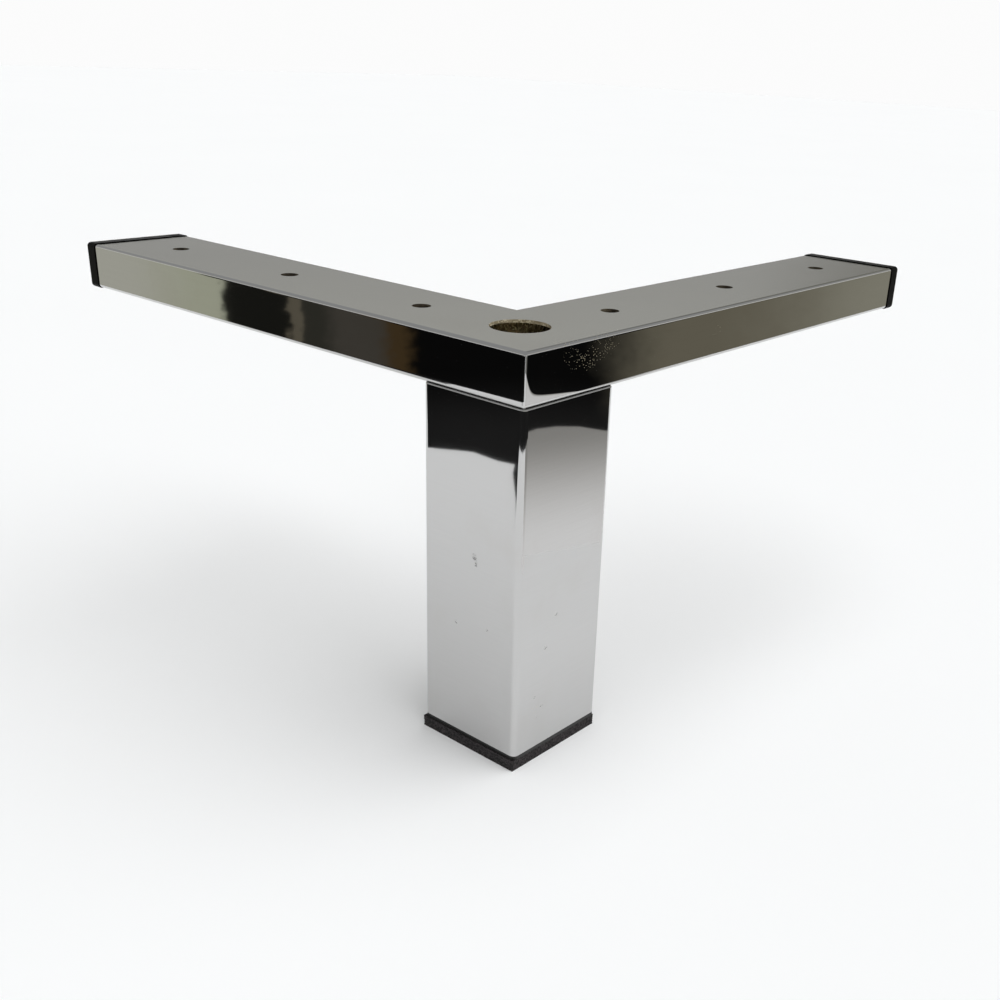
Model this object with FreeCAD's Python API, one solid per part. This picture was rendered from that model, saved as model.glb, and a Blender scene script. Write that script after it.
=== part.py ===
"""Chrome-plated corner leg for a table: a square tube welded under two mitred flat arms.

The origin is on the floor, under the middle of the leg, and Z points up. The left arm runs along -X and the
right arm along +Y, so the outer corner is at +X -Y. All sizes are in millimetres.
"""

import FreeCAD, Part
import os

V = FreeCAD.Vector

# Leg
leg_side = 50.0  # square leg, and the width of the flat arms that lie flush on it
leg_length = 140.0
leg_wall = 1.5
leg_corner_r = 2.5
leg_top_r = 0.6  # sawn end, eased before plating

# Arms
arm_length = 274.0  # from the outer corner to the open end
arm_height = 20.0
arm_wall = 1.2
arm_corner_r = 1.5
mitre_corner_r = 1.0  # the mitre's outer upright edge, ground after welding

# Holes
screw_count = 3
screw_hole_d = 7.5
first_screw = 77.0  # from the outer corner, along the arm's middle line
screw_pitch = 82.0
corner_hole_d = 23.0
corner_hole_inset = 28.5  # from each outer face

# End caps
cap_flange = 7.0
cap_lip = 0.4  # how far the flange stands out all round the tube
cap_edge_r = 1.5
cap_insert = 14.0

# Foot
plug_flange = 1.5
plug_insert = 18.0
pad_thickness = 4.5
pad_slip = 0.8  # the pad is stuck on by hand, a little proud of the left front face

# Moulded inserts of the caps and of the foot plug
core_gap = 1.6  # from the tube's bore to the insert's core
core_wall = 1.8
rib_count = 3
rib_thickness = 1.0
rib_gap = 0.05  # from a rib's edge to the tube's bore

# Weld beads
weld_leg = 4.0  # how far a bead runs up each of the two faces that it joins
weld_flatness = 2.0  # how far behind the faces the bead's round back is centred

# Levels and planes worked out from the sizes above
half = leg_side / 2
leg_bottom = pad_thickness + plug_flange
arm_bottom = leg_bottom + leg_length
arm_middle = arm_bottom + arm_height / 2
arm_top = arm_bottom + arm_height
arm_end = half - arm_length

ORIGIN = V(0, 0, 0)
X_AXIS = V(1, 0, 0)
Y_AXIS = V(0, 1, 0)
Z_AXIS = V(0, 0, 1)
MITRE_NORMAL = V(1, 1, 0)
QUARTER_TURN = 90.0
SAME_LEVEL = 1e-6
PARALLEL = 1 - 1e-6


def edges_along(shape, axis):
    """The straight edges of a shape that run along an axis."""
    return [e for e in shape.Edges if abs(e.tangentAt(e.FirstParameter).dot(axis)) > PARALLEL]


def edges_at_height(shape, z):
    """The edges of a shape that lie in the level plane at z."""
    return [e for e in shape.Edges if all(abs(v.Z - z) < SAME_LEVEL for v in e.Vertexes)]


def rounded_bar(width, depth, radius, length):
    """A bar standing on the XY plane, width along X and depth along Y, with rounded upright edges."""
    bar = Part.makeBox(width, depth, length, V(-width / 2, -depth / 2, 0))
    if radius <= 0:
        return bar
    return bar.makeFillet(radius, edges_along(bar, Z_AXIS))


def ribbed_insert(width, depth, length):
    """The hollow core and squeeze ribs of a plug, made to go up into a bore of this width and depth.

    The ribs are notched at the corners, so that they bend when the plug is driven in.
    """
    core_width = width - 2 * core_gap
    core_depth = depth - 2 * core_gap
    insert = rounded_bar(core_width, core_depth, 0, length)
    across = rounded_bar(width - 2 * rib_gap, core_depth, 0, rib_thickness)
    along = rounded_bar(core_width, depth - 2 * rib_gap, 0, rib_thickness)
    rib = across.fuse(along)
    pitch = length / (rib_count + 1)
    for i in range(rib_count):
        insert = insert.fuse(rib.translated(V(0, 0, (i + 1) * pitch - rib_thickness / 2)))
    hollow = rounded_bar(core_width - 2 * core_wall, core_depth - 2 * core_wall, 0, length)
    return insert.cut(hollow).removeSplitter()


def across_the_mitre(shape):
    """The mirror image of a left-hand piece on the right-hand side of the mitre."""
    return shape.mirror(ORIGIN, MITRE_NORMAL)


def at_open_end(edge):
    """Whether an edge lies in the sawn end of one of the arms."""
    return all(min(abs(v.X - arm_end), abs(v.Y + arm_end)) < SAME_LEVEL for v in edge.Vertexes)


def angle_bar(inset):
    """Both arms as one right-angled bar, smaller by the inset on every side but the open ends."""
    side = half - inset
    height = arm_height - 2 * inset
    outline = [
        V(side, -side, 0),
        V(side, -arm_end, 0),
        V(-side, -arm_end, 0),
        V(-side, side, 0),
        V(arm_end, side, 0),
        V(arm_end, -side, 0),
    ]
    bar = Part.Face(Part.makePolygon(outline + outline[:1])).extrude(V(0, 0, height))
    if mitre_corner_r > inset:
        outer_corner = max(edges_along(bar, Z_AXIS), key=lambda e: e.Vertexes[0].X - e.Vertexes[0].Y)
        bar = bar.makeFillet(mitre_corner_r - inset, [outer_corner])
    level = edges_at_height(bar, 0) + edges_at_height(bar, height)
    bar = bar.makeFillet(arm_corner_r - inset, [e for e in level if not at_open_end(e)])
    return bar.translated(V(0, 0, arm_bottom + inset))


def mitre_cutter():
    """Everything on the right-hand side of the mitre plane."""
    corners = [V(arm_length, -arm_length, 0), V(arm_length, arm_length, 0), V(-arm_length, arm_length, 0)]
    triangle = Part.Face(Part.makePolygon(corners + corners[:1]))
    return triangle.extrude(V(0, 0, arm_top))


def screw_holes():
    """Straight drillings through both walls of the left arm, on its middle line."""
    drills = []
    for i in range(screw_count):
        at = V(half - first_screw - i * screw_pitch, 0, arm_bottom)
        drills.append(Part.makeCylinder(screw_hole_d / 2, arm_height, at))
    return drills


def corner_hole():
    """The large hole in the top wall above the leg, halved by the mitre."""
    at = V(half - corner_hole_inset, corner_hole_inset - half, arm_middle)
    return Part.makeCylinder(corner_hole_d / 2, arm_height / 2, at)


def left_arm_tube():
    """The left-hand half of the angle, cut on the mitre plane."""
    return angle_bar(0).cut([angle_bar(arm_wall), mitre_cutter(), corner_hole()] + screw_holes())


def leg_tube():
    bore_side = leg_side - 2 * leg_wall
    outside = rounded_bar(leg_side, leg_side, leg_corner_r, leg_length)
    outside = outside.makeFillet(leg_top_r, edges_at_height(outside, leg_length))
    tube = outside.cut(rounded_bar(bore_side, bore_side, leg_corner_r - leg_wall, leg_length))
    return tube.translated(V(0, 0, leg_bottom))


def left_end_cap():
    """A plug whose flange covers the arm's sawn end, with its outer edge rounded."""
    outline_r = arm_corner_r + cap_lip
    flange = rounded_bar(arm_height + 2 * cap_lip, leg_side + 2 * cap_lip, outline_r, cap_flange)
    flange = flange.makeFillet(cap_edge_r, edges_at_height(flange, 0))
    flange.translate(V(0, 0, -cap_flange))
    bore_height = arm_height - 2 * arm_wall
    bore_width = leg_side - 2 * arm_wall
    cap = flange.fuse(ribbed_insert(bore_height, bore_width, cap_insert))
    cap.rotate(ORIGIN, Y_AXIS, QUARTER_TURN)
    return cap.translated(V(arm_end, 0, arm_middle))


def foot_plug():
    """A plug whose flat flange covers the leg's sawn lower end."""
    flange = rounded_bar(leg_side, leg_side, leg_corner_r, plug_flange)
    flange.translate(V(0, 0, -plug_flange))
    bore_side = leg_side - 2 * leg_wall
    plug = flange.fuse(ribbed_insert(bore_side, bore_side, plug_insert))
    return plug.translated(V(0, 0, leg_bottom))


def foot_pad():
    return Part.makeBox(leg_side, leg_side, pad_thickness, V(-half, -half - pad_slip, 0))


def weld_bead(length):
    """A bead along +Z in the quarter of space with X and Y below zero, from z = 0, with round ends."""
    reach = weld_leg + weld_flatness
    radius = (reach**2 + weld_flatness**2) ** 0.5
    tip = (radius**2 - 2 * weld_flatness**2) ** 0.5
    foot = V(weld_flatness, weld_flatness, tip)
    run = length - 2 * tip
    bead = Part.makeCylinder(radius, run, foot)
    for end in (foot, foot + V(0, 0, run)):
        bead = bead.fuse(Part.makeSphere(radius, end))
    quarter = Part.makeBox(weld_leg, weld_leg, length, V(-weld_leg, -weld_leg, 0))
    return bead.common(quarter).removeSplitter()


def left_arm_weld():
    """The bead between the leg's inner face and the left arm's underside."""
    bead = weld_bead(leg_side - 2 * leg_corner_r)
    bead.rotate(ORIGIN, X_AXIS, -QUARTER_TURN)
    bead.rotate(ORIGIN, Y_AXIS, -QUARTER_TURN)
    return bead.translated(V(-half, leg_corner_r - half, arm_bottom))


def inner_corner_weld():
    """The upright bead between the inner faces of the two arms."""
    bead = weld_bead(arm_height - 2 * arm_corner_r)
    bead.rotate(ORIGIN, Z_AXIS, -QUARTER_TURN)
    return bead.translated(V(-half, half, arm_bottom + arm_corner_r))


nodes = {
    "left_arm_tube": left_arm_tube(),
    "right_arm_tube": across_the_mitre(left_arm_tube()),
    "leg_tube": leg_tube(),
    "left_end_cap": left_end_cap(),
    "right_end_cap": across_the_mitre(left_end_cap()),
    "foot_plug": foot_plug(),
    "foot_pad": foot_pad(),
    "left_arm_weld": left_arm_weld(),
    "right_arm_weld": across_the_mitre(left_arm_weld()),
    "inner_corner_weld": inner_corner_weld(),
}

os.makedirs("parts", exist_ok=True)
for name, shape in nodes.items():
    shape.exportStep(f"parts/{name}.step")
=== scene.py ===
"""Looks of the chrome corner leg: plated tubes, moulded caps, foam pad, and the plain studio around them.

Everything is in metres in the part's own frame: the origin is on the floor under the middle of the leg, Z is
up, the left arm runs along -X and the right arm along +Y. On the part, a noise's scale is a count per metre.
"""

import math

import bpy
from mathutils import Matrix, Vector, noise

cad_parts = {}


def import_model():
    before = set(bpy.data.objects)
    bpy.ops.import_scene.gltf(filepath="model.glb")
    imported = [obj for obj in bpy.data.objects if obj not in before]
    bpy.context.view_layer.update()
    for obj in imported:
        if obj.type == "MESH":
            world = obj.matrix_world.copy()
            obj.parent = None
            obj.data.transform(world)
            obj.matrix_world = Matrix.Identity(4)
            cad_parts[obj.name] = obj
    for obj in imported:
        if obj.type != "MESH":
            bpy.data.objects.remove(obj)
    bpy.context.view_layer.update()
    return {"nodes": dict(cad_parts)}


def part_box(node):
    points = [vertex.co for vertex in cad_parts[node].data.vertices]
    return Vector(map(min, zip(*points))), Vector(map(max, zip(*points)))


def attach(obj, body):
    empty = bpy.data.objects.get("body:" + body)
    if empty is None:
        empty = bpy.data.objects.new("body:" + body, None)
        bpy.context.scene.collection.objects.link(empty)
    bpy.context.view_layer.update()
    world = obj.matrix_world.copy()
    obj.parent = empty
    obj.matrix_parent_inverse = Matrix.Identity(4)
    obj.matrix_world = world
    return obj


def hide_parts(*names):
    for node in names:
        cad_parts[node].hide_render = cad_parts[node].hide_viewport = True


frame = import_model()

MM = 0.001

# Camera
camera_place = Vector((276.6, -307.4, 257.4)) * MM
camera_azimuth = math.radians(39.37)  # turned from +Y towards -X
camera_elevation = math.radians(24.13)  # looking down
camera_roll = math.radians(2.65)
camera_lens = 41.32
camera_sensor = 36
camera_shift = (-0.062, 0.068)
camera_clip = 10 * MM

# Sizes taken from the frame
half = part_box("leg_tube")[1].x
arm_lo, arm_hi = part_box("left_arm_tube")
pad_lo, pad_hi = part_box("foot_pad")
arm_height = arm_hi.z - arm_lo.z

# Tubes
hole_reach = 2 * MM  # a steep face this far inside the outline belongs to a hole
skin_depth = 0.6 * MM  # a face deeper than this is inside the arm
leg_skin_depth = 1.0 * MM  # the same for the leg, whose edges are rounder
steep = 0.5  # the normal of a steep face has less than this along Z

# Foam pad
pad_steps = 60  # along each side
pad_rows = 8
pad_rough = 0.45 * MM  # the deepest pit in a cut side
pad_grain = 600
pad_falloff = 0.8
pad_octave = 2.0  # how much finer each octave of the grain is
pad_octaves = 4
pad_edge_wear = 0.25  # the share of the pits that is left at the upper and lower edges

# Weld beads
weld_ring = 0.25 * MM  # from one ring of vertices to the next
weld_arc = 10  # steps across the bead
weld_pitch = 1.9 * MM  # from one crescent to the next
weld_ripple = 0.11  # depth of the ripples, as a share of the bead
weld_lead = 0.35  # how far a crescent's middle runs ahead, in pitches
weld_crown = 0.20  # how far the bead's middle stands out from a flat fillet
weld_bluntness = 8
weld_tip = 0.02  # the square of the bead's share that is left at its very ends

# Marks that the grinder left on the plating around the mitre
ground_length = 44 * MM  # along the right arm's lower edge
ground_height = 4.4 * MM  # up from that edge
ground_width = 2.8 * MM  # beside the mitre
ground_narrow = 0.12  # the share of that width that is left further up
ground_low, ground_high = 0.20 * arm_height, 0.65 * arm_height  # where it narrows
dressed_length = 190 * MM  # along the left arm's lower edge, which was only dressed
dressed_height = 2.9 * MM
dressed_share = 0.5  # of the tilt on the right arm
ground_tilt = 0.16
ground_soft = (0.7, 1.3)  # the softness of the ground band's border
ground_facing = (0.55, 0.75)  # how squarely a face looks outwards, from not ground to ground
ground_least = 0.1 * MM  # nothing is taken to be nearer to an edge than this
arm_start = 0.2 * MM  # what is higher than this above the leg belongs to the arms

# Flaws in the plating
pit_scale = 1700.0
pit_density = 0.40
pit_rim, pit_floor = 0.34, 0.22  # in cells
pit_nests = [  # x, y, z and radius in millimetres
    (25, -13, 24, 7), (25, 9, 136, 4), (25, -2, 161, 10), (25, 6, 157, 10),
    (25, 14, 161, 11), (25, 23, 162, 9), (25, 92, 157, 8),
]
dents = [  # the same for single small dents
    (2.5, -25, 84.5, 1.5), (3.4, -25, 82.0, 1.1), (-7, -25, 54, 0.9),
    (9.6, -25, 56.6, 0.8), (25, -8.6, 48.7, 1.2), (25, -9.8, 23.5, 1.4),
    (25, -12.5, 19.5, 1.1), (25, -14, 29, 0.9), (25, -3, 61.3, 1.1),
]
dent_noise = 1500.0
dent_ragged = 2.0 * MM
dent_depth = 4.5  # as a multiple of the plating's waves

# Room: heights are sines of the elevation, bearings run from +X towards +Y
room_front = math.radians(310.0)  # the bearing that the room's other bearings are counted from
wall_grey = (0.44, 0.44, 0.405, 1)
ceiling_grey = (0.355, 0.36, 0.362, 1)
ceiling_heights = (0.25, 0.55)  # from wall to ceiling
behind = (-0.5, -0.8)  # the share of a direction that points to the front, from the sides to behind the leg
dim_heights = (0.24, 0.13)  # the wall behind the leg is dim low down
dim_grey, dim_share = 0.20, 0.55
corner_bearings = (172, 162)  # and dark in its corner, in degrees from the front
corner_brown, corner_share = (0.14, 0.135, 0.11, 1), 0.75
rim_white = 0.97
rim_height, rim_height_behind = 0.21, 0.07
rim_fade = 0.04
lamp_strength = 2.2
lamp_colour = (0.98, 0.99, 1.0)
lamp_spread = math.radians(80)
lamp_aim = Vector((-0.6, -0.35, -1.6))
floor_reach = 9.0
floor_noise = 3.0
floor_greys = (0.94, 0.96)

# Dark mat outside the picture, with a low wall on its outer border. Both glow with bands of painted
# reflection, which only reflections show
mat_height = 0.5 * MM
mat_reach = 1.6  # half its width
wall_height = 0.40
mat_gap = 0.43  # the radius of the floor left open in front of the leg
mat_arc = [math.radians(b) for b in range(266, 391, 20)]  # bearings of that opening's round front
mat_left = [
    (-0.298, -0.268), (-0.285, -0.278), (-0.259, -0.292), (-0.235, -0.291), (-0.222, -0.294),
    (-0.210, -0.279), (-0.177, -0.246), (-0.142, -0.209), (-0.128, -0.226), (-0.120, -0.350),
]
mat_right = [(0.315, 0.304), (0.316, 0.316), (0.310, 0.332), (0.298, 0.345), (0.277, 0.351)]
mat_outside = [
    (0.25, mat_reach), (mat_reach, mat_reach), (mat_reach, -mat_reach),
    (-mat_reach, -mat_reach), (-mat_reach, -0.25),
]
left_fan = (0.277, 0.257, 0.257)  # where the mat's bands of painted reflection on the left fan out from
left_painted_reflection_bands = [  # from and to, in degrees from the room's front, and the colour of painted reflection that comes in
    (-150, -110, (0.52, 0.52, 0.45, 1)),
    (-101, -97, (0.465, 0.480, 0.370, 1)),
    (-96.5, -96.1, (0.012, 0.012, 0.010, 1)),
    (-93.5, -93.2, (0.130, 0.115, 0.085, 1)),
    (-92.9, -92.6, (0.036, 0.035, 0.028, 1)),
    (-92.0, -90.8, (0.066, 0.060, 0.050, 1)),
    (-89.2, -88.2, (0.062, 0.040, 0.018, 1)),
    (-87.9, -87.1, (0.004, 0.004, 0.004, 1)),
]
right_fan = (-0.227, -0.307, 0.257)  # the same for the right
right_painted_reflection_bands = [
    (60, 95, (0.004, 0.004, 0.004, 1)),
    (101.3, 106.0, (0.175, 0.160, 0.118, 1)),
    (108.0, 116.0, (0.310, 0.300, 0.240, 1)),
]
rag_scale, rag_reach = 160.0, 1.0  # the bands' ragged edges: noise scale, and reach in degrees
smoke_scale = 14.0
left_smoke, right_smoke = 0.0, 4.0  # how far the bands drift in broad wisps, in degrees
near_bearings = (-96.6, -96.1)  # the mat's painted reflection is black close by, from this bearing on
near_falls = (-0.25, -0.30)  # and where it is seen this steeply from above
near_noise = 9.0
near_painted_reflection_greys = (0.010, 0.024)

# Card outside the picture, which glows and which only reflections show: a painted reflection of the floor,
# with painted shade that makes the floor look dimmer on the right
card_height = 0.3 * MM
card_corners = [(0.211, 0.0), (0.084, 0.350), (0.36, 0.40), (0.44, 0.0)]
card_bearing = math.radians(20)
card_near, card_far = 0.199, 0.40  # its painted shade grows along its bearing from here to here
card_light, card_painted_shade = 0.96, 0.34
card_white, card_warm = (1.0, 1.0, 1.0, 1), (1.0, 0.98, 0.93, 1)


class Graph:
    """Adds nodes to one node tree. A value is a socket, or what a socket is set to."""

    def __init__(self, tree):
        self.tree = tree

    def add(self, kind, *values, out=0, **settings):
        node = self.tree.nodes.new("ShaderNode" + kind)
        for name, setting in settings.items():
            setattr(node, name, setting)
        for socket, value in zip(node.inputs, values):
            self.put(socket, value)
        return node.outputs[out]

    def put(self, socket, value):
        if isinstance(value, bpy.types.NodeSocket):
            self.tree.links.new(value, socket)
        elif value is not None:
            socket.default_value = value

    def place(self):
        return self.add("TexCoord", out="Object")

    def along(self, axis, vector):
        return self.add("SeparateXYZ", vector, out=axis)

    def math(self, operation, a, b=0.0):
        return self.add("Math", a, b, operation=operation)

    def vector(self, operation, a, b=None, out="Vector"):
        return self.add("VectorMath", a, b, operation=operation, out=out)

    def dot(self, a, b):
        return self.vector("DOT_PRODUCT", a, b, out="Value")

    def distance(self, a, b):
        return self.vector("DISTANCE", a, b, out="Value")

    def ramp(self, value, start, end, low=0.0, high=1.0):
        return self.add("MapRange", value, start, end, low, high, interpolation_type="SMOOTHSTEP")

    def mix(self, factor, a, b):
        """The colour sockets of a Mix node come after those for numbers and vectors."""
        node = self.tree.nodes.new("ShaderNodeMix")
        node.data_type = "RGBA"
        for socket, value in ((node.inputs[0], factor), (node.inputs[6], a), (node.inputs[7], b)):
            self.put(socket, value)
        return node.outputs[2]

    def noise(self, place, scale, detail=2.0, rough=0.5, out=0):
        return self.add("TexNoise", place, None, scale, detail, rough, out=out)

    def cells(self, place, scale, out="Distance"):
        return self.add("TexVoronoi", place, None, scale, out=out)

    def bump(self, height, strength, depth, normal=None):
        return self.add("Bump", strength, depth, None, height, normal)


def new_material(name):
    material = bpy.data.materials.new(name)
    material.use_nodes = True
    tree = material.node_tree
    tree.nodes.clear()
    output = tree.nodes.new("ShaderNodeOutputMaterial")
    return material, Graph(tree), output.inputs["Surface"]


def principled(name):
    material, g, surface = new_material(name)
    shader = g.tree.nodes.new("ShaderNodeBsdfPrincipled")
    g.put(surface, shader.outputs["BSDF"])
    return material, g, shader.inputs


def grey(value, warm=0.0):
    return (value * (1 + warm), value, value * (1 - warm), 1)


def lower_edge(g, along, above, length, height):
    """Rises above 1 within a band along an arm's lower edge, which tapers away from the mitre."""
    band = g.add("MapRange", along, 0.0, length, height, 0.0)
    return g.math("POWER", g.math("DIVIDE", band, above), 2.0)


def ground_right(g, place, normal, above):
    """How far the right arm's outer face was ground, at its lower edge and beside the mitre."""
    along = g.math("MAXIMUM", g.math("ADD", g.along("Y", place), half), ground_least)
    narrow = ground_narrow * ground_width
    strip = g.add("MapRange", above, ground_low, ground_high, ground_width, narrow)
    beside = g.math("POWER", g.math("DIVIDE", strip, along), 2.0)
    band = g.math("ADD", lower_edge(g, along, above, ground_length, ground_height), beside)
    facing_right = g.ramp(g.along("X", normal), *ground_facing)
    return g.math("MULTIPLY", facing_right, g.ramp(band, *ground_soft))


def dressed_left(g, place, normal, above):
    """How far the left arm's outer face was dressed, at its lower edge."""
    along = g.math("SUBTRACT", half, g.along("X", place))
    band = lower_edge(g, along, above, dressed_length, dressed_height)
    start, end = ground_facing
    facing_left = g.ramp(g.along("Y", normal), -start, -end)
    return g.math("MULTIPLY", facing_left, g.ramp(band, *ground_soft, 0.0, dressed_share))


def ground_corner(g, place, normal):
    """How far the grinder dressed down the two outer faces of the arms."""
    above = g.math("MAXIMUM", g.math("SUBTRACT", g.along("Z", place), arm_lo.z), ground_least)
    on_arm = g.math("GREATER_THAN", above, arm_start)
    left = dressed_left(g, place, normal, above)
    right = ground_right(g, place, normal, above)
    return g.math("MULTIPLY", on_arm, g.math("MAXIMUM", left, right))


def pits(g, place):
    """Pin-prick flaws in the plating, in small nests."""
    density = 0.0
    for x, y, z, radius in pit_nests:
        gap = g.distance(place, (x * MM, y * MM, z * MM))
        density = g.math("ADD", g.ramp(gap, radius * MM, 0.0, 0.0, pit_density), density)
    from_middle = g.cells(place, pit_scale)
    lot = g.add("SeparateColor", from_middle.node.outputs["Color"], out="Red")
    chosen = g.math("LESS_THAN", lot, density)
    return g.math("MULTIPLY", chosen, g.ramp(from_middle, pit_rim, pit_floor))


def dimples(g, place):
    """Shallow dents, made uneven by a fine noise."""
    uneven = g.vector("SUBTRACT", g.noise(place, dent_noise, out="Color"), (0.5, 0.5, 0.5))
    spot = g.vector("ADD", place, g.vector("MULTIPLY", uneven, (dent_ragged, dent_ragged, dent_ragged)))
    depth = 0.0
    for x, y, z, radius in dents:
        gap = g.distance(spot, (x * MM, y * MM, z * MM))
        depth = g.math("ADD", g.ramp(gap, radius * MM, 0.0), depth)
    return depth


def chrome_material():
    """Bright plating: smooth and slightly wavy on the sides, satin on the upper faces, with a few pits."""
    dark, light, smudged = grey(0.555, 0.004), grey(0.585, 0.004), grey(0.545, 0.015)
    pitted = (0.70, 0.63, 0.45, 1)
    smudge_share = 0.6
    plain_rough, satin_rough, smudge_rough, pit_rough = 0.03, 0.10, 0.02, 0.60
    satin_grain, pit_grain = 0.004, 0.3
    drawn_scales = (40, 40, 1600)  # long marks round the tubes, close together along Z
    material, g, shader = principled("chrome")
    place = g.place()
    normal = g.add("NewGeometry", out="Normal")
    top = g.ramp(g.along("Z", normal), start=0.90, end=0.99)
    wave = g.noise(place, scale=22.0, detail=1.0)
    fine = g.noise(place, scale=900.0, detail=3.0)
    smudge = g.ramp(g.noise(place, scale=35.0, detail=4.0, rough=0.6), start=0.50, end=0.72)
    drawn = g.noise(g.vector("MULTIPLY", place, drawn_scales), scale=1.0)
    pit = pits(g, place)
    tint = g.mix(drawn, dark, light)
    tint = g.mix(g.math("MULTIPLY", smudge, smudge_share), tint, smudged)
    g.put(shader["Base Color"], g.mix(pit, tint, pitted))
    shader["Metallic"].default_value = 1
    rough = g.math("ADD", g.math("MULTIPLY", top, satin_rough), g.math("MULTIPLY", smudge, smudge_rough))
    rough = g.math("ADD", rough, g.math("MULTIPLY", pit, pit_rough))
    g.put(shader["Roughness"], g.math("ADD", rough, plain_rough))
    drop = g.math("MULTIPLY", ground_corner(g, place, normal), -ground_tilt)
    shaped = g.vector("NORMALIZE", g.vector("ADD", normal, g.add("CombineXYZ", 0.0, 0.0, drop)))
    grain = g.math("ADD", g.math("MULTIPLY", top, satin_grain), g.math("MULTIPLY", pit, pit_grain))
    form = g.math("ADD", wave, g.math("MULTIPLY", grain, fine))
    form = g.math("SUBTRACT", form, g.math("MULTIPLY", dimples(g, place), dent_depth))
    g.put(shader["Normal"], g.bump(form, strength=1.0, depth=0.04 * MM, normal=shaped))
    return material


def bare_steel_material():
    """The unplated inside of the tubes: dull brown steel, with pale flaky scale under the corner hole. That
    scale is partly the steel's own and partly painted light: it is made far paler there than the steel is,
    to stand in for the light that comes in through the hole.
    """
    dull_dark, dull_light = (0.030, 0.022, 0.013, 1), (0.12, 0.095, 0.06, 1)
    flake_dark_plus_painted_light, flake_light_plus_painted_light = (0.33, 0.26, 0.15, 1), (0.85, 0.74, 0.50, 1)
    flake_bright_plus_painted_light = (0.95, 0.88, 0.66, 1)
    bright_share = 0.30
    dull_rough, stained_rough = 0.70, 0.50
    scale_and_light_out, scale_and_light_in = 60 * MM, 34 * MM  # where the scale and its painted light fade in, from the middle of the leg's upper end
    lip_top, lip_bottom = arm_hi.z - 1.0 * MM, arm_hi.z - 1.8 * MM
    lip_scale_and_light_share = 0.55  # the scale and its painted light on the hole's own wall
    material, g, shader = principled("bare_steel")
    place = g.place()
    stain = g.ramp(g.noise(place, scale=260.0, detail=5.0, rough=0.7), start=0.36, end=0.66)
    lot = g.add("SeparateColor", g.cells(place, scale=1300.0, out="Color"), out="Red")
    flake = g.math("LESS_THAN", lot, bright_share)
    below = g.ramp(g.along("Z", place), lip_top, lip_bottom, lip_scale_and_light_share, 1.0)
    # Paler scale near the hole, and painted light: the colour is raised there in place of the light that
    # comes in through the hole
    scale = g.math("MULTIPLY", g.ramp(g.distance(place, (0, 0, arm_lo.z)), scale_and_light_out, scale_and_light_in), below)
    colour = g.mix(scale, g.mix(stain, dull_dark, dull_light), g.mix(stain, flake_dark_plus_painted_light, flake_light_plus_painted_light))
    g.put(shader["Base Color"], g.mix(g.math("MULTIPLY", flake, scale), colour, flake_bright_plus_painted_light))
    shader["Metallic"].default_value = 0.1
    g.put(shader["Roughness"], g.ramp(stain, 0.0, 1.0, dull_rough, stained_rough))
    grain = g.noise(place, scale=900.0, detail=4.0)
    g.put(shader["Normal"], g.bump(grain, strength=0.5, depth=0.15 * MM))
    return material


def weld_material():
    """Plated weld beads, duller where the heat has been."""
    bright, burnt = grey(0.54), grey(0.42, 0.05)
    bright_rough, burnt_rough = 0.14, 0.32
    material, g, shader = principled("weld")
    place = g.place()
    heat = g.ramp(g.noise(place, scale=120.0, detail=4.0), start=0.40, end=0.68)
    g.put(shader["Base Color"], g.mix(heat, bright, burnt))
    shader["Metallic"].default_value = 1
    g.put(shader["Roughness"], g.ramp(heat, 0.0, 1.0, bright_rough, burnt_rough))
    grain = g.noise(place, scale=1500.0, detail=3.0)
    g.put(shader["Normal"], g.bump(grain, strength=0.4, depth=0.05 * MM))
    return material


def cap_material():
    """Black moulded plastic with a slight gloss, a spark-eroded grain and handling marks."""
    clean, marked = grey(0.0015), grey(0.005, 0.05)
    clean_rough, marked_rough = 0.30, 0.48
    material, g, shader = principled("end_cap")
    place = g.place()
    marks = g.ramp(g.noise(place, scale=90.0, detail=5.0, rough=0.6), start=0.48, end=0.70)
    g.put(shader["Base Color"], g.mix(marks, clean, marked))
    shader["Specular IOR Level"].default_value = 0.03
    g.put(shader["Roughness"], g.ramp(marks, 0.0, 1.0, clean_rough, marked_rough))
    g.put(shader["Normal"], g.bump(g.noise(place, scale=2600.0), strength=0.3, depth=0.03 * MM))
    return material


def plug_material():
    """Black moulded plastic, dull and a little dusty."""
    clean, dusty = grey(0.008), grey(0.018, 0.1)
    clean_rough, dusty_rough = 0.45, 0.65
    material, g, shader = principled("foot_plug")
    place = g.place()
    dust = g.ramp(g.noise(place, scale=200.0, detail=5.0, rough=0.6), start=0.50, end=0.75)
    g.put(shader["Base Color"], g.mix(dust, clean, dusty))
    g.put(shader["Roughness"], g.ramp(dust, 0.0, 1.0, clean_rough, dusty_rough))
    g.put(shader["Normal"], g.bump(g.noise(place, scale=2200.0), strength=0.3, depth=0.03 * MM))
    return material


def foam_material():
    """Cut foam rubber: dull black with brown-black patches and open cells."""
    black, brown = grey(0.002), (0.046, 0.037, 0.040, 1)
    pore_depth = 0.6
    material, g, shader = principled("foot_pad")
    place = g.place()
    patch = g.ramp(g.noise(place, scale=1300.0, detail=4.0, rough=0.75), start=0.42, end=0.62)
    pore = g.ramp(g.cells(place, scale=2400.0), start=0.35, end=0.15)
    g.put(shader["Base Color"], g.mix(patch, black, brown))
    shader["Roughness"].default_value = 0.85
    crumbs = g.noise(place, scale=1400.0, detail=4.0, rough=0.7)
    height = g.math("SUBTRACT", crumbs, g.math("MULTIPLY", pore, pore_depth))
    g.put(shader["Normal"], g.bump(height, strength=0.8, depth=0.25 * MM))
    return material


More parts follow.
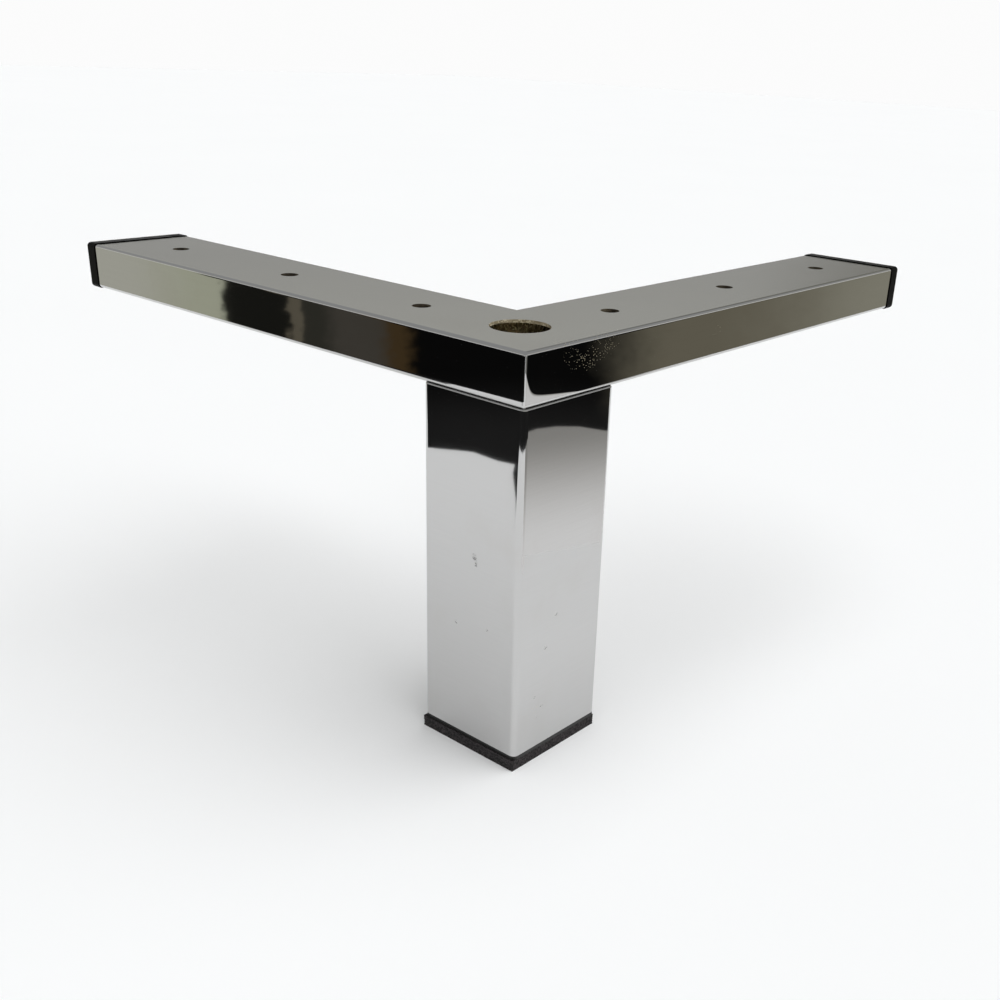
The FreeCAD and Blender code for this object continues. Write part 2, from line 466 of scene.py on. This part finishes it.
def link(name, vertices, faces, material):
    mesh = bpy.data.meshes.new(name)
    mesh.from_pydata(vertices, [], faces)
    mesh.materials.append(material)
    obj = bpy.data.objects.new(name, mesh)
    bpy.context.scene.collection.objects.link(obj)
    return obj


def coat(node, *materials):
    """Gives a CAD node its materials."""
    mesh = frame["nodes"][node].data
    mesh.materials.clear()
    for material in materials:
        mesh.materials.append(material)
    return mesh


def dress(node, skin, inside):
    """Gives a CAD tube its plating, and its inside and hole walls bare steel."""
    lo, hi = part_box(node)
    across = 1 if hi.x - lo.x > hi.y - lo.y else 0
    for polygon in coat(node, skin, inside).polygons:
        c, n = polygon.center, polygon.normal
        if node == "leg_tube":
            depth = min(c.x - lo.x, hi.x - c.x, c.y - lo.y, hi.y - c.y)
            hidden = depth > leg_skin_depth and abs(n.z) < steep
        else:
            side = min(c[across] - lo[across], hi[across] - c[across])
            depth = min(side, c.z - lo.z, hi.z - c.z)
            hidden = depth > skin_depth or (side > hole_reach and abs(n.z) < steep)
        polygon.material_index = int(hidden)


def foam_pad(material):
    """The pad as a block cut from foam: its cut sides are rough and lie just inside the CAD block."""
    size = pad_hi - pad_lo
    shares = [i / pad_steps for i in range(pad_steps)]
    rim = [(s, 0.0) for s in shares] + [(1.0, s) for s in shares]
    rim += [(1 - s, 1.0) for s in shares] + [(0.0, 1 - s) for s in shares]
    vertices = []
    for row in range(pad_rows + 1):
        wear = pad_edge_wear if row in (0, pad_rows) else 1.0
        height = pad_lo.z + row / pad_rows * size.z
        for u, v in rim:
            p = Vector((pad_lo.x + u * size.x, pad_lo.y + v * size.y, height))
            inward = Vector((0.5 - u, 0.5 - v, 0)).normalized()
            worn = abs(noise.fractal(p * pad_grain, pad_falloff, pad_octave, pad_octaves)) * wear
            vertices.append(p + inward * min(worn, 1.0) * pad_rough)
    n = len(rim)
    faces = [tuple(range(n))[::-1], tuple(range(pad_rows * n, (pad_rows + 1) * n))]
    for row in range(pad_rows):
        for i in range(n):
            j = (i + 1) % n
            faces.append((row * n + i, row * n + j, (row + 1) * n + j, (row + 1) * n + i))
    coat("foot_pad", material)
    pad = link("foam_pad", vertices, faces, material)
    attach(pad, "root")
    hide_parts("foot_pad")


def weld_bead(node, corner, up, out, material):
    """A bead in the corner between two faces, laid as a row of overlapping crescents along the CAD bead."""
    lo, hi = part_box(node)
    run = up.cross(out)
    start, end = sorted((lo.dot(run), hi.dot(run)))
    length = end - start
    leg = min(abs((hi - lo).dot(up)), abs((hi - lo).dot(out)))
    rings = int(length / weld_ring)
    waves = length / weld_pitch
    vertices = []
    for i in range(rings + 1):
        t = i / rings
        middle = corner + run * (start + t * length - corner.dot(run))
        taper = math.sqrt(max(1 - abs(2 * t - 1) ** weld_bluntness, weld_tip))
        for k in range(weld_arc + 1):
            angle = k / weld_arc * math.pi / 2
            crest = math.sin(2 * angle)
            phase = 2 * math.pi * (t * waves - weld_lead * crest)
            ripple = 1 - weld_ripple * (0.5 + 0.5 * math.cos(phase))
            bulge = (1 + weld_crown * crest) / (math.cos(angle) + math.sin(angle))
            side = up * math.cos(angle) + out * math.sin(angle)
            vertices.append(middle + side * (leg * bulge * ripple * taper))
        vertices.append(middle)
    n = weld_arc + 2
    faces = [tuple(range(n)), tuple(range(rings * n, rings * n + n))[::-1]]
    for i in range(rings):
        for k in range(n):
            j = (k + 1) % n
            faces.append((i * n + j, i * n + k, (i + 1) * n + k, (i + 1) * n + j))
    coat(node, material)
    bead = link("bead_" + node, vertices, faces, material)
    for polygon in bead.data.polygons:
        polygon.use_smooth = True
    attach(bead, "root")
    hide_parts(node)


def facing(g, way):
    """The share of a direction that points to the room's front, and its bearing from there in degrees."""
    front = Vector((math.cos(room_front), math.sin(room_front), 0))
    ahead = g.dot(way, front)
    aside = g.dot(way, (-front.y, front.x, 0))
    return ahead, g.math("MULTIPLY", g.math("ARCTAN2", aside, ahead), math.degrees(1))


def drift(g, way, scale, reach):
    """A noise from minus half the reach to half the reach."""
    return g.math("MULTIPLY", g.math("SUBTRACT", g.noise(way, scale, detail=3.0), 0.5), reach)


def fan(g, place, source, bands, smoke):
    """Bands of painted reflection with ragged edges that fan out from a fixed place, and black close by."""
    way = g.vector("NORMALIZE", g.vector("SUBTRACT", place, source))
    ragged = g.math("ADD", drift(g, way, rag_scale, rag_reach), drift(g, way, smoke_scale, smoke))
    bearing = g.math("ADD", facing(g, way)[1], ragged)
    colour = wall_grey
    for start, end, band in bands:
        colour = g.mix(g.ramp(bearing, start, end), colour, band)
    near = g.math("MULTIPLY", g.ramp(bearing, *near_bearings), g.ramp(g.along("Z", way), *near_falls))
    low, high = near_painted_reflection_greys
    return g.mix(near, colour, g.mix(g.noise(way, near_noise, detail=3.0), grey(low), grey(high)))


def painted_reflection_mat_material():
    material, g, surface = new_material("painted_reflection_mat")
    # The mat glows with these bands: painted reflections for the arms' outer faces.
    place = g.place()
    left = fan(g, place, left_fan, left_painted_reflection_bands, left_smoke)
    right = fan(g, place, right_fan, right_painted_reflection_bands, right_smoke)
    on_right = g.math("GREATER_THAN", facing(g, place)[1], 0.0)
    g.put(surface, g.add("Emission", g.mix(on_right, left, right), 1.0))
    return material


def painted_reflection_card_material():
    material, g, surface = new_material("painted_reflection_card")
    # The card glows: a painted reflection of the floor, whose painted shade grows and warms along its
    # bearing
    away = g.dot(g.place(), (math.cos(card_bearing), math.sin(card_bearing), 0))
    light = g.ramp(away, card_near, card_far, card_light, card_painted_shade)
    tone = g.mix(g.ramp(away, card_near, card_far), card_white, card_warm)
    g.put(surface, g.add("Emission", tone, light))
    return material


def flag(name, vertices, faces, material):
    """A glowing sheet of painted reflection that stands or lies outside the picture, and which only
    reflections show.
    """
    obj = link(name, vertices, faces, material)
    obj.visible_camera = False
    obj.visible_diffuse = False
    obj.visible_shadow = False


def sheet(name, outline, height, material):
    flag(name, [(x, y, height) for x, y in outline], [tuple(range(len(outline)))], material)


def flags():
    """The mat of painted reflection, which is open in front of the leg, the wall on its border, and the card
    of painted floor reflection with painted shade.
    """
    # The glowing bands of painted reflection, on the mat and on the wall
    dark = painted_reflection_mat_material()
    front = [(mat_gap * math.cos(b), mat_gap * math.sin(b)) for b in mat_arc]
    sheet("painted_reflection_mat", mat_left + front + mat_right + mat_outside, mat_height, dark)
    sheet("painted_reflection_card", card_corners, card_height, painted_reflection_card_material())
    # The wall glows with the same painted reflection as the mat
    wall = [(x, y, z) for x, y in mat_outside for z in (mat_height, wall_height)]
    flag("wall", wall, [(i, i + 2, i + 3, i + 1) for i in range(0, len(wall) - 2, 2)], dark)


def floor():
    """Pale, and open to the eye from below."""
    low, high = floor_greys
    material, g, surface = new_material("floor")
    shade = g.noise(g.place(), floor_noise, detail=3.0)
    pale = g.add("BsdfDiffuse", g.mix(shade, grey(low), grey(high)))
    from_below = g.add("NewGeometry", out="Backfacing")
    g.put(surface, g.add("MixShader", from_below, pale, g.add("BsdfTransparent")))
    r = floor_reach
    obj = link("floor", [(-r, -r, 0), (r, -r, 0), (r, r, 0), (-r, r, 0)], [(0, 1, 2, 3)], material)


def camera():
    az, el, roll = camera_azimuth, camera_elevation, camera_roll
    forward = Vector((-math.sin(az) * math.cos(el), math.cos(az) * math.cos(el), -math.sin(el)))
    level = Vector((math.cos(az), math.sin(az), 0))
    right = level * math.cos(roll) + level.cross(forward) * math.sin(roll)
    up = right.cross(forward)
    data = bpy.data.cameras.new("camera")
    data.lens = camera_lens
    data.sensor_width = camera_sensor
    data.shift_x, data.shift_y = camera_shift
    data.clip_start = camera_clip
    obj = bpy.data.objects.new("camera", data)
    turn = Matrix((right, up, -forward)).transposed().to_4x4()
    obj.matrix_world = Matrix.Translation(camera_place) @ turn
    bpy.context.scene.collection.objects.link(obj)
    bpy.context.scene.camera = obj


def world():
    """A grey room above a white rim that runs round the floor, lower behind the leg."""
    w = bpy.data.worlds.new("world")
    w.use_nodes = True
    tree = w.node_tree
    tree.nodes.clear()
    g = Graph(tree)
    way = g.add("TexCoord", out="Generated")
    height = g.along("Z", way)
    ahead, bearing = facing(g, way)
    at_back = g.ramp(ahead, *behind)
    walls = g.mix(g.ramp(height, *ceiling_heights), wall_grey, ceiling_grey)
    dim = g.math("MULTIPLY", at_back, g.ramp(height, *dim_heights, 0.0, dim_share))
    walls = g.mix(dim, walls, grey(dim_grey))
    on_right = g.math("GREATER_THAN", bearing, 0.0)
    corner = g.math("MULTIPLY", on_right, g.ramp(bearing, *corner_bearings, 0.0, corner_share))
    walls = g.mix(g.math("MULTIPLY", at_back, corner), walls, corner_brown)
    rim_top = g.ramp(at_back, 0.0, 1.0, rim_height, rim_height_behind)
    over_rim = g.math("SUBTRACT", height, rim_top)
    walls = g.mix(g.ramp(over_rim, rim_fade, 0.0), walls, grey(rim_white))
    output = tree.nodes.new("ShaderNodeOutputWorld")
    g.put(output.inputs["Surface"], g.add("Background", walls, 1.0))
    bpy.context.scene.world = w


def lamp():
    """One broad lamp, which reflections don't show."""
    data = bpy.data.lights.new("key", "SUN")
    data.energy = lamp_strength
    data.color = lamp_colour
    data.angle = lamp_spread
    obj = bpy.data.objects.new("key", data)
    obj.rotation_euler = lamp_aim.to_track_quat("-Z", "Y").to_euler()
    obj.visible_glossy = False
    bpy.context.scene.collection.objects.link(obj)


chrome = chrome_material()
steel = bare_steel_material()
weld = weld_material()
cap = cap_material()
for tube in ("left_arm_tube", "right_arm_tube", "leg_tube"):
    dress(tube, chrome, steel)
left, inward, down = Vector((-1, 0, 0)), Vector((0, 1, 0)), Vector((0, 0, -1))
weld_bead("left_arm_weld", Vector((-half, 0, arm_lo.z)), down, left, weld)
weld_bead("right_arm_weld", Vector((0, half, arm_lo.z)), down, inward, weld)
weld_bead("inner_corner_weld", Vector((-half, half, 0)), left, inward, weld)
coat("left_end_cap", cap)
coat("right_end_cap", cap)
coat("foot_plug", plug_material())
foam_pad(foam_material())
floor()
flags()
world()
lamp()
camera()
bpy.context.scene.view_settings.view_transform = "Standard"
